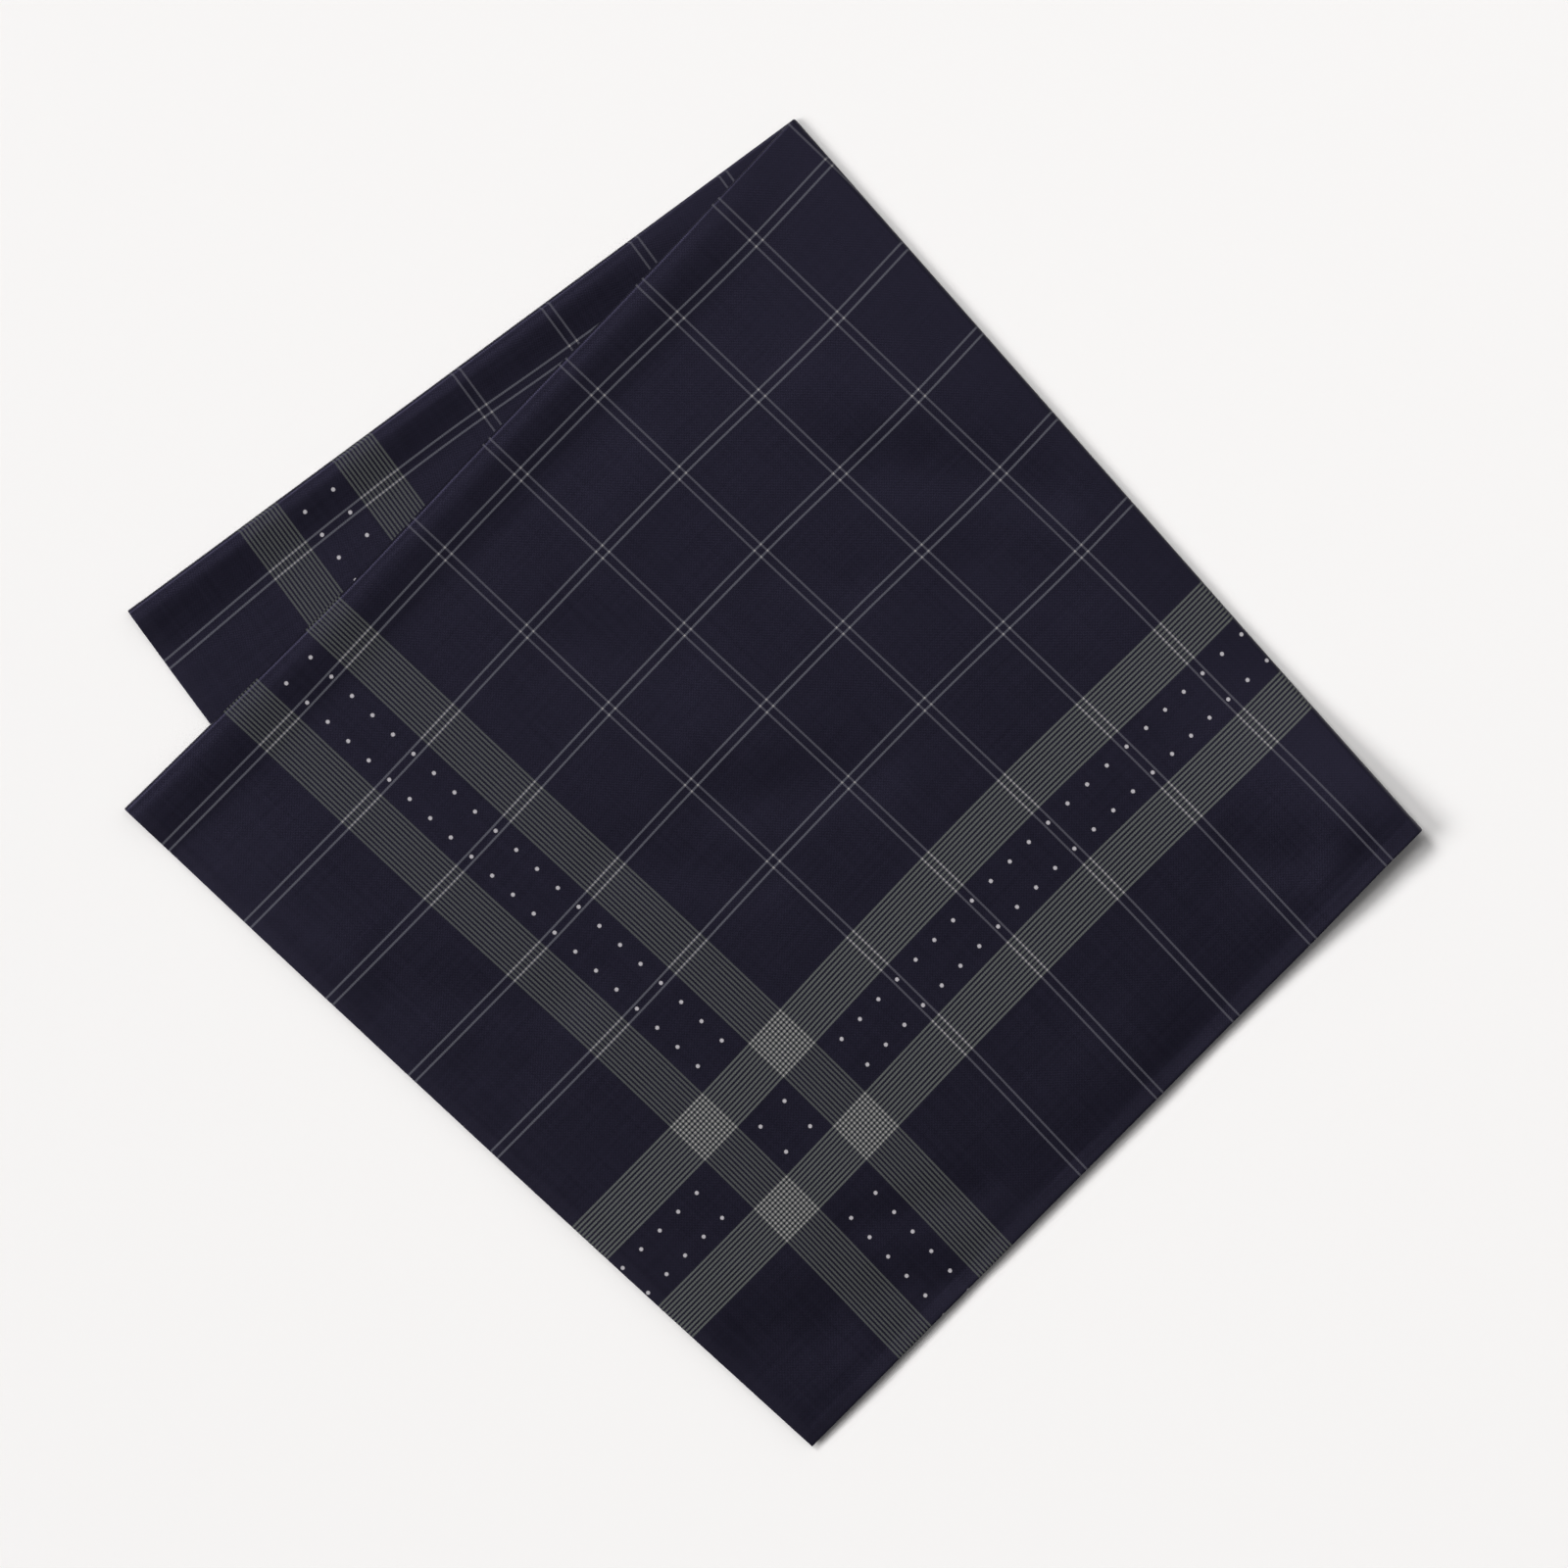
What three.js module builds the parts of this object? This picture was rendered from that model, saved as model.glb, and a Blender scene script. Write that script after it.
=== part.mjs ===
// A thin square neckerchief folded twice into quarters and laid flat.
// One closed sheet: the first fold joins an upper and a lower half, the second fold tucks
// the back of that pair under its front. From the top the four layers are
// upper front, lower front, lower back and upper back.
import * as THREE from 'three';

// Cloth, in millimetres
const CLOTH_THICK = 1.0;
const LAYER_GAP = 0.7;
const HEM_THICK = 1.2;
const HEM_WIDTH = 3.6;
const HEM_STEP = 0.8;
const HEM_ROUND = 0.4;
const HEM_EDGE_THICK = 0.6;

// Corners of the folded cloth seen from above, in millimetres
const CORNERS = {
  fold: { x: 6.2, y: 192.0 },
  frontLeft: { x: -187.6, y: -7.8 },
  frontHem: { x: 11.1, y: -192.0 },
  frontHemUnder: { x: 10.9, y: -189.2 },
  right: { x: 187.6, y: -14.0 },
  rightUnder: { x: 186.0, y: -14.2 },
  backLeft: { x: -186.7, y: 49.5 },
  backHem: { x: -7.1, y: -161.9 },
  backHemUnder: { x: -6.0, y: -160.4 },
};

// Which corners each of the four layers reaches
const LAYERS = [
  { side: 1, half: 1, along: 'right', down: 'frontLeft', far: 'frontHem' },
  { side: -1, half: 1, along: 'rightUnder', down: 'frontLeft', far: 'frontHemUnder' },
  { side: 1, half: -1, along: 'right', down: 'backLeft', far: 'backHemUnder' },
  { side: -1, half: -1, along: 'rightUnder', down: 'backLeft', far: 'backHem' },
];

// Loose roll of the first fold, as the radius it grows to away from the corner
const ROLL = {
  front: { radius: 1.45, from: 8, to: 60 },
  back: { radius: 1.05, from: 30, to: 80 },
};
const ROLL_FADE = 14;

// How far the front's left fold curves inward, by fraction of its length
const LEFT_BOW = [
  { at: 0.0, inward: 0.0 },
  { at: 0.26, inward: 0.8 },
  { at: 0.5, inward: 1.15 },
  { at: 0.66, inward: 1.85 },
  { at: 0.82, inward: 1.3 },
  { at: 1.0, inward: 0.0 },
];
const FRONT_HEM_BOW = 0.7;
const BACK_HEM_BOW = 6.0;

// Where the front settles beyond the back layers' hems
const SETTLE = { start: 4.5, end: 24.0 };

// The right corner stands a little off the surface
const LIFT = { base: 2.6, spread: 0.42, reach: 34 };

// Grid lines, as steps over each fold and distances from it
const FOLD_STEPS = 8;
const NEAR_FOLD = [2.6, 5.6, 9.6, 14.8];
const WIDE_STEP = 31;
const FINE_STEP = 6.2;
const FINE_ZONE = { along: 46, downFront: 56, downBack: 0 };

const HALF_TURN = Math.PI / 2;
const HALF_PAIR = (CLOTH_THICK + LAYER_GAP) / 2;
const PAIR_CENTRE = 2 * HALF_PAIR;
const OUTER = PAIR_CENTRE + HALF_PAIR;
const SLOPE_STEP = 0.02;

function distance(a, b) {
  return Math.hypot(a.x - b.x, a.y - b.y);
}

const ALONG_LENGTH = distance(CORNERS.fold, CORNERS.right);
const FRONT_LENGTH = distance(CORNERS.fold, CORNERS.frontLeft);
const BACK_LENGTH = distance(CORNERS.fold, CORNERS.backLeft);

function smooth(from, to, value) {
  const f = Math.min(1, Math.max(0, (value - from) / (to - from)));
  return f * f * (3 - 2 * f);
}

// Smooth curve through the rows of a table
function through(table, at, column) {
  const last = table.length - 1;
  const f = Math.min(table[last].at, Math.max(table[0].at, at));
  let k = 0;
  while (k < last - 1 && f > table[k + 1].at) {
    k += 1;
  }
  const slope = (i) => {
    const before = table[Math.max(0, i - 1)];
    const after = table[Math.min(last, i + 1)];
    return (after[column] - before[column]) / (after.at - before.at);
  };
  const width = table[k + 1].at - table[k].at;
  const t = (f - table[k].at) / width;
  const rest = 1 - t;
  const start = table[k][column] * (1 + 2 * t) * rest * rest + slope(k) * width * t * rest * rest;
  const end = table[k + 1][column] * (3 - 2 * t) * t * t - slope(k + 1) * width * rest * t * t;
  return start + end;
}

// Unit directions along the folded cloth's edges
function direction(a, b) {
  const length = distance(a, b);
  return { x: (b.x - a.x) / length, y: (b.y - a.y) / length };
}

const ALONG = direction(CORNERS.fold, CORNERS.right);
const DOWN = direction(CORNERS.fold, CORNERS.frontLeft);
const BACK_DOWN = direction(CORNERS.fold, CORNERS.backLeft);

// How far a point lies outside the line from a to b, measured away from the fold corner
function beyond(point, a, b) {
  const line = direction(a, b);
  const side = (p) => (p.x - a.x) * line.y - (p.y - a.y) * line.x;
  return side(point) * -Math.sign(side(CORNERS.fold));
}

// Fraction of the way from a to b
function fractionOn(point, a, b) {
  const line = direction(a, b);
  return ((point.x - a.x) * line.x + (point.y - a.y) * line.y) / distance(a, b);
}

function arch(fraction) {
  const f = Math.min(1, Math.max(0, fraction));
  return 4 * f * (1 - f);
}

// Share of the back pair's thickness that the front has come down at a point
function settled(point) {
  const c = CORNERS;
  const bow = BACK_HEM_BOW * arch(fractionOn(point, c.backLeft, c.backHem));
  const low = smooth(SETTLE.start, SETTLE.end, beyond(point, c.backLeft, c.backHem) - bow);
  const right = smooth(SETTLE.start, SETTLE.end, beyond(point, c.backHem, c.right));
  return 1 - (1 - low) * (1 - right);
}

// Point of one layer seen from above
function planPoint(layer, across, down) {
  const length = layer.half > 0 ? FRONT_LENGTH : BACK_LENGTH;
  const u = across / ALONG_LENGTH;
  const v = down / length;
  const c = CORNERS;
  const blend = (key) => c.fold[key]
    + u * (c[layer.along][key] - c.fold[key])
    + v * (c[layer.down][key] - c.fold[key])
    + u * v * (c[layer.far][key] - c[layer.along][key] - c[layer.down][key] + c.fold[key]);
  const point = { x: blend('x'), y: blend('y') };
  const rest = Math.max(0, 1 - u);
  if (layer.half > 0) {
    const bow = through(LEFT_BOW, v, 'inward') * rest * rest;
    const out = FRONT_HEM_BOW * arch(u) * v * v * v;
    point.x += ALONG.x * bow + DOWN.x * out;
    point.y += ALONG.y * bow + DOWN.y * out;
  } else {
    const out = BACK_HEM_BOW * arch(u) * v * v;
    point.x += BACK_DOWN.x * out;
    point.y += BACK_DOWN.y * out;
  }
  return point;
}

// Middle of the sheet. Each grid line is an angle over its fold and a distance beyond it.
function middle(first, second) {
  const front = (1 + Math.sin(second.angle)) / 2;
  const outerDown = second.beyond + OUTER * (1 - Math.cos(second.angle));
  const frontRoll = smooth(ROLL.front.from, ROLL.front.to, outerDown);
  const backRoll = smooth(ROLL.back.from, ROLL.back.to, outerDown);
  const growFront = (ROLL.front.radius - HALF_PAIR) * frontRoll * front;
  const growBack = (ROLL.back.radius - HALF_PAIR) * backRoll * (1 - front);
  const radius = HALF_PAIR + growFront + growBack;
  const fade = 1 - smooth(0, ROLL_FADE, first.beyond);
  const grown = (growFront + growBack) * fade;
  const centre = (growFront - growBack) * fade;
  const across = first.beyond + radius * (1 - Math.cos(first.angle));
  const height = centre + (HALF_PAIR + grown) * Math.sin(first.angle);

  const reach = PAIR_CENTRE + height;
  const down = second.beyond + OUTER - Math.min(reach, OUTER) * Math.cos(second.angle);
  const upper = (1 + Math.sin(first.angle)) / 2;
  const point = { x: 0, y: 0 };
  for (const layer of LAYERS) {
    const shareSide = layer.side > 0 ? upper : 1 - upper;
    const shareHalf = layer.half > 0 ? front : 1 - front;
    const share = shareSide * shareHalf;
    const plan = planPoint(layer, across, down);
    point.x += plan.x * share;
    point.y += plan.y * share;
  }

  let z = OUTER + CLOTH_THICK / 2 + reach * Math.sin(second.angle);
  const onFront = second.beyond > 0 ? front : 0;
  z -= 2 * PAIR_CENTRE * settled(point) * onFront;
  const near = distance(point, CORNERS.right) / LIFT.reach;
  const raised = Math.exp(-near * near);
  z += raised * (LIFT.base + LIFT.spread * (z - CLOTH_THICK / 2));
  return new THREE.Vector3(point.x, point.y, z);
}

// Grid lines on one side of a fold, up to the hem
function linesBeyond(length, fineZone) {
  const lines = [...NEAR_FOLD];
  const hemStart = length - HEM_WIDTH - HEM_STEP;
  const fineStart = fineZone > 0 ? length - fineZone : hemStart;
  const last = NEAR_FOLD[NEAR_FOLD.length - 1];
  const wide = Math.max(1, Math.round((fineStart - last) / WIDE_STEP));
  for (let k = 1; k <= wide; k += 1) {
    lines.push(last + ((fineStart - last) * k) / wide);
  }
  const fine = Math.round((hemStart - fineStart) / FINE_STEP);
  for (let k = 1; k <= fine; k += 1) {
    lines.push(fineStart + ((hemStart - fineStart) * k) / fine);
  }
  lines.push(length - HEM_WIDTH, length - HEM_ROUND, length);
  return lines;
}

// All grid lines across one fold, from one hem to the other
function linesAcross(lowLength, lowZone, highLength, highZone) {
  const lines = [];
  for (const value of linesBeyond(lowLength, lowZone).reverse()) {
    lines.push({ angle: -HALF_TURN, beyond: value, left: lowLength - value });
  }
  for (let k = 0; k <= FOLD_STEPS; k += 1) {
    const angle = -HALF_TURN + (2 * HALF_TURN * k) / FOLD_STEPS;
    lines.push({ angle, beyond: 0, left: lowLength });
  }
  for (const value of linesBeyond(highLength, highZone)) {
    lines.push({ angle: HALF_TURN, beyond: value, left: highLength - value });
  }
  return lines;
}

// Distances of the two faces from the middle of the sheet, rounded off at the edge.
// The hem is turned to the inner side, so its extra thickness is all on that face.
function faceOffsets(left) {
  if (left < 0.01) {
    return { outer: HEM_EDGE_THICK / 2, inner: HEM_EDGE_THICK / 2 };
  }
  const hem = 1 - smooth(HEM_WIDTH, HEM_WIDTH + HEM_STEP, left);
  const turned = (HEM_THICK - CLOTH_THICK) * hem;
  return { outer: CLOTH_THICK / 2, inner: CLOTH_THICK / 2 + turned };
}

// Same line a little to one side, for the sheet's slope
function nudged(line, amount) {
  const straight = line.beyond > 0;
  const sign = Math.sign(line.angle);
  const beyondNow = straight ? line.beyond + amount * sign : 0;
  const angle = straight ? line.angle : line.angle + amount;
  return { angle, beyond: beyondNow, left: line.left };
}

function normalAt(first, second) {
  const acrossA = middle(nudged(first, SLOPE_STEP), second);
  const acrossB = middle(nudged(first, -SLOPE_STEP), second);
  const downA = middle(first, nudged(second, SLOPE_STEP));
  const downB = middle(first, nudged(second, -SLOPE_STEP));
  return downA.sub(downB).cross(acrossA.sub(acrossB)).normalize();
}

function buildCloth() {
  const alongEnd = ALONG_LENGTH - HALF_PAIR;
  const firstLines = linesAcross(alongEnd, FINE_ZONE.along, alongEnd, FINE_ZONE.along);
  const backEnd = BACK_LENGTH - OUTER;
  const frontEnd = FRONT_LENGTH - OUTER;
  const secondLines = linesAcross(backEnd, FINE_ZONE.downBack, frontEnd, FINE_ZONE.downFront);
  const columns = firstLines.length;
  const rows = secondLines.length;
  const outerFace = [];
  const innerFace = [];
  for (const second of secondLines) {
    for (const first of firstLines) {
      const centre = middle(first, second);
      const normal = normalAt(first, second);
      const offsets = faceOffsets(Math.min(first.left, second.left));
      outerFace.push(centre.clone().addScaledVector(normal, offsets.outer));
      innerFace.push(centre.clone().addScaledVector(normal, -offsets.inner));
    }
  }
  const points = [...outerFace, ...innerFace];
  const under = outerFace.length;
  const triangles = [];
  const quad = (a, b, c, d) => {
    triangles.push(a, b, c, a, c, d);
  };
  // Upper and lower layers are split the same way, so that they stay evenly apart
  for (let r = 0; r < rows - 1; r += 1) {
    for (let k = 0; k < columns - 1; k += 1) {
      const a = r * columns + k;
      const b = a + columns;
      if (firstLines[k].angle < 0) {
        quad(a + 1, a, b, b + 1);
        quad(under + b, under + a, under + a + 1, under + b + 1);
      } else {
        quad(a, b, b + 1, a + 1);
        quad(under + a, under + a + 1, under + b + 1, under + b);
      }
    }
  }
  const rim = [];
  for (let k = 0; k < columns - 1; k += 1) {
    rim.push(k);
  }
  for (let r = 0; r < rows - 1; r += 1) {
    rim.push(r * columns + columns - 1);
  }
  for (let k = columns - 1; k > 0; k -= 1) {
    rim.push((rows - 1) * columns + k);
  }
  for (let r = rows - 1; r > 0; r -= 1) {
    rim.push(r * columns);
  }
  for (let k = 0; k < rim.length; k += 1) {
    const a = rim[k];
    const b = rim[(k + 1) % rim.length];
    quad(a, b, under + b, under + a);
  }
  const geometry = new THREE.BufferGeometry().setFromPoints(points);
  geometry.setIndex(triangles);
  geometry.computeVertexNormals();
  return geometry;
}

const clothMaterial = new THREE.MeshStandardMaterial({ color: 0x201e2b, roughness: 0.62, metalness: 0.0 });
const cloth = new THREE.Mesh(buildCloth(), clothMaterial);
cloth.name = 'scarf_cloth';

const part = new THREE.Group();
part.name = 'folded_neckerchief';
part.add(cloth);

export default part;
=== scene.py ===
import math

import bpy
import numpy as np
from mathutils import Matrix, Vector


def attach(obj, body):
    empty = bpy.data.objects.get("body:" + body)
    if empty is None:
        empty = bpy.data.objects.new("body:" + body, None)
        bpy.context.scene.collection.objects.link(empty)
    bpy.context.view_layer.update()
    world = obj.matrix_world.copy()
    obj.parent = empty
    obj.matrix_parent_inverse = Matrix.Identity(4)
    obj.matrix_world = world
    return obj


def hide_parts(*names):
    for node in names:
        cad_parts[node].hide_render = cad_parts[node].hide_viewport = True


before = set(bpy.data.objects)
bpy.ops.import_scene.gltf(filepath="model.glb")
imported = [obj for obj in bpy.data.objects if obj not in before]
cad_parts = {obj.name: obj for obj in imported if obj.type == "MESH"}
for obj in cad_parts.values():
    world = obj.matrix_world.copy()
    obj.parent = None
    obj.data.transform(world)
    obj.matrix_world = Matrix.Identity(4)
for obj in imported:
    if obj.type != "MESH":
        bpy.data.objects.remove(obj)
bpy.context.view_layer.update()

MM = 0.001

# The square is folded in half round the first fold, on the upper left, and again round the second
# fold, on the upper right. A place on it is an angle over each fold and a distance beyond it. At
# a quarter turn over the first fold it is in the outer layer of a pair, and at a quarter turn
# over the second fold in the front pair. At minus a quarter turn it is in the other one.
QUARTER = math.pi / 2
TURNED = -QUARTER + 1e-6

# The cloth, in millimetres: its thickness and its hem's, the hem's width, the step beside it, how
# far it stands out of an upper face, and over what width its edge gets thinner, by what share
SHEET = 0.35
HEM_SHEET = 0.75
HEM_WIDTH = 3.6
HEM_STEP = 1.8
HEM_OUT = 0.10
HEM_EDGE = dict(thinner=0.3, width=0.2)

# Half the distance between the layers of a pair, and a pair's distance from the second fold's
# middle height
HALF_PAIR = 0.55
PAIR_CENTRE = 1.1
OUTER = PAIR_CENTRE + HALF_PAIR

# Corners of the folded cloth seen from above, as in the solid
CORNERS = {
    "fold": (6.2, 192.0),
    "front_left": (-187.6, -7.8),
    "front_hem": (10.9, -191.8),
    "front_hem_under": (10.9, -189.2),
    "right": (187.4, -13.8),
    "right_under": (185.9, -14.1),
    "back_left": (-186.7, 49.5),
    "back_hem": (-7.1, -161.9),
    "back_hem_under": (-6.0, -160.4),
}

# The four layers: side 1 is the outer one of its pair, and half 1 is the front pair
LAYERS = [
    dict(side=1, half=1, along="right", down="front_left", far="front_hem"),
    dict(side=-1, half=1, along="right_under", down="front_left", far="front_hem_under"),
    dict(side=1, half=-1, along="right", down="back_left", far="back_hem_under"),
    dict(side=-1, half=-1, along="right_under", down="back_left", far="back_hem"),
]

# Loose roll of the first fold away from the corner, how far inward it dies out, and the low
# bead beside it
ROLL_FRONT = dict(radius=1.18, start=8, end=60)
ROLL_BACK = dict(radius=1.15, start=30, end=80)
FADE_FRONT = (2.8, 20)
FADE_BACK = (0.5, 16)
BEAD = dict(front=0.13, back=0.22, start=0.2, top=3.6)

# Inward curve of the front's first fold, by fraction of its length, and outward bows of the hems
LEFT_BOW_AT = [0.0, 0.26, 0.5, 0.66, 0.82, 1.0]
LEFT_BOW_IN = [0.0, 0.8, 1.15, 1.85, 1.3, 0.0]
FRONT_HEM_BOW = 0.7
BACK_HEM_BOW = 6.0

# Where the front comes down past the back layers' hems: from and to, outside each hem
SETTLE_LOW = (-8.0, 46.0)
SETTLE_RIGHT = (-12.0, 54.0)

# The right corner stands off the surface, the lower right hem curls up a little as far as the
# last part of its length, and the layers lie closer together near the second fold
LIFT = dict(base=3.1, spread=0.80, along=40, inward=42, inward_more=20, fold_width=40)
HEM_CURL = dict(height=0.42, width=6.0)
CURL_END = 0.9
FOLD_DROP = dict(share=0.12, width=6.0)

# Stripe pitch of the cloth in millimetres, where its pattern lies on the top layer, where the
# first pair of stripes is, and how far it is from the cloth's centre to its hems, in pitches
PITCH_X = 32.56
PITCH_Y = 31.83
PATTERN_ORIGIN = (-6.68, 201.62)
PATTERN_X = (23.66, -22.37)
PATTERN_Y = (-22.43, -22.58)
FIRST_PAIR = 0.5
X_END = 8.43
Y_END = 8.20


def smooth(start, end, value):
    """Soft step from 0 at the start to 1 at the end."""
    f = np.clip((value - start) / (end - start), 0, 1)
    return f * f * (3 - 2 * f)


def arch(f):
    """Bow that is 0 at both ends and 1 halfway."""
    f = np.clip(f, 0, 1)
    return 4 * f * (1 - f)


def curve(at, xs, ys):
    """Smooth curve through a short table."""
    xs, ys = np.asarray(xs, float), np.asarray(ys, float)
    slope = np.gradient(ys, xs)
    at = np.clip(at, xs[0], xs[-1])
    k = np.clip(np.searchsorted(xs, at) - 1, 0, len(xs) - 2)
    w = xs[k + 1] - xs[k]
    t = (at - xs[k]) / w
    r = 1 - t
    low = ys[k] * (1 + 2 * t) * r * r + slope[k] * w * t * r * r
    return low + ys[k + 1] * (3 - 2 * t) * t * t - slope[k + 1] * w * r * t * t


def unit(a, b):
    """Direction from a to b."""
    line = np.subtract(b, a)
    return line / np.linalg.norm(line)


def span(a, b):
    """Distance between two named corners."""
    return float(np.linalg.norm(np.subtract(CORNERS[b], CORNERS[a])))


ALONG_LENGTH = span("fold", "right")
FRONT_LENGTH = span("fold", "front_left")
BACK_LENGTH = span("fold", "back_left")
ALONG = unit(CORNERS["fold"], CORNERS["right"])
DOWN = unit(CORNERS["fold"], CORNERS["front_left"])
BACK_DOWN = unit(CORNERS["fold"], CORNERS["back_left"])


def beyond(x, y, a, b):
    """Distance outside the line from a to b, away from the folded corner."""
    a, b = CORNERS[a], CORNERS[b]
    line = unit(a, b)
    corner = CORNERS["fold"]
    away = -np.sign((corner[0] - a[0]) * line[1] - (corner[1] - a[1]) * line[0])
    return ((x - a[0]) * line[1] - (y - a[1]) * line[0]) * away


def across_line(x, y, a, b):
    """Distance of a point from the line from a to b."""
    line = unit(CORNERS[a], CORNERS[b])
    return np.abs((x - CORNERS[a][0]) * line[1] - (y - CORNERS[a][1]) * line[0])


def fraction_on(x, y, a, b):
    """How far along the line from a to b a point is, as a fraction of the line."""
    line = unit(CORNERS[a], CORNERS[b])
    return ((x - CORNERS[a][0]) * line[0] + (y - CORNERS[a][1]) * line[1]) / span(a, b)


def settled(x, y):
    """How far the front has come down beyond the back layers' hems, from 0 to 1."""
    bow = BACK_HEM_BOW * arch(fraction_on(x, y, "back_left", "back_hem"))
    low = smooth(*SETTLE_LOW, beyond(x, y, "back_left", "back_hem") - bow)
    right = smooth(*SETTLE_RIGHT, beyond(x, y, "back_hem", "right"))
    return 1 - (1 - low) * (1 - right)


def plan(layer, across, down):
    """Place of a layer's point seen from above, from its distances from the two folds."""
    length = FRONT_LENGTH if layer["half"] > 0 else BACK_LENGTH
    u, v = across / ALONG_LENGTH, down / length
    fold, along = np.array(CORNERS["fold"]), np.array(CORNERS[layer["along"]])
    low, far = np.array(CORNERS[layer["down"]]), np.array(CORNERS[layer["far"]])
    p = [fold[k] + u * (along[k] - fold[k]) + v * (low[k] - fold[k])
         + u * v * (far[k] - along[k] - low[k] + fold[k]) for k in (0, 1)]
    if layer["half"] > 0:
        bow = curve(v, LEFT_BOW_AT, LEFT_BOW_IN) * np.maximum(0, 1 - u) ** 2
        out = FRONT_HEM_BOW * arch(u) * v ** 3
        return [p[k] + ALONG[k] * bow + DOWN[k] * out for k in (0, 1)]
    out = BACK_HEM_BOW * arch(u) * v * v
    return [p[k] + BACK_DOWN[k] * out for k in (0, 1)]


# Soft creases of the top layer: a line from one point to another, its half width and height,
# all in millimetres. Troughs have a height below zero.
CREASES = [
    dict(a=(32, 93), b=(80, 84), width=10, height=-0.7),
    dict(a=(2, 62), b=(22, 56), width=7, height=-0.3),
    dict(a=(-20, -8), b=(28, 4), width=10, height=-0.5),
    dict(a=(-48, -22), b=(-4, -28), width=8, height=-0.4),
    dict(a=(-110, -61), b=(-62, -65), width=9, height=-0.5),
    dict(a=(-84, -80), b=(-72, -84), width=9, height=-0.45),
    dict(a=(12, 113), b=(34, 104), width=12, height=0.45),
    dict(a=(-34, 94), b=(-46, 76), width=10, height=0.25),
    dict(a=(-18, 12), b=(-4, 6), width=8, height=0.25),
    dict(a=(-150, -26), b=(-132, -18), width=12, height=0.2),
    dict(a=(136, -22), b=(152, -23), width=9, height=-0.6),
    dict(a=(172, -20), b=(178, -24), width=7, height=-0.5),
    dict(a=(116, -80), b=(124, -72), width=6, height=-0.35),
    dict(a=(-4, -160), b=(14, -157), width=11, height=-0.75),
    dict(a=(24, -128), b=(60, -118), width=6, height=-0.5),
    dict(a=(34, -146), b=(58, -142), width=6, height=-0.4),
    dict(a=(12, -191), b=(112, -90), width=15, height=0.45),
    dict(a=(60, 67), b=(84, 57), width=12, height=-0.5),
    dict(a=(-58, 43), b=(-30, 36), width=12, height=-0.45),
    dict(a=(84, -94), b=(104, -77), width=12, height=0.4),
    dict(a=(14, -179), b=(24, -171), width=10, height=0.4),
    dict(a=(-142, -50), b=(-124, -55), width=12, height=0.4),
]

# Over what distance from a fold a crease grows to its full height, and the share of it that the
# layer under the top one takes
CREASE_CLEAR = (2, 14)
CREASE_BELOW = 0.1


def relief(x, y):
    """Height of the soft creases over the top layer."""
    total = np.zeros_like(x)
    for row in CREASES:
        a, b = np.array(row["a"], float), np.array(row["b"], float)
        line = b - a
        t = np.clip(((x - a[0]) * line[0] + (y - a[1]) * line[1]) / (line @ line), 0, 1)
        away = (x - a[0] - t * line[0]) ** 2 + (y - a[1] - t * line[1]) ** 2
        total += row["height"] * np.exp(-away / row["width"] ** 2)
    return total


def raised(x, y, z, on_front):
    """Height after the right corner is lifted and the lower right hem is curled up."""
    inward = np.maximum(0, -beyond(x, y, "front_hem", "right"))
    along = 1 - fraction_on(x, y, "front_hem", "right")
    from_fold = smooth(0, LIFT["fold_width"], across_line(x, y, "fold", "right"))
    reach_in = LIFT["inward"] + LIFT["inward_more"] * from_fold
    reach_along = along * span("front_hem", "right") / LIFT["along"]
    share = np.exp(-(inward / reach_in) ** 2 - reach_along ** 2)
    z = z + share * (LIFT["base"] + LIFT["spread"] * (z - SHEET / 2))
    edge = np.maximum(0, 1 - np.maximum(0, FRONT_HEM_BOW + inward) / HEM_CURL["width"]) ** 2
    return z + HEM_CURL["height"] * edge * (1 - smooth(CURL_END, 1, along)) * on_front


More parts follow.
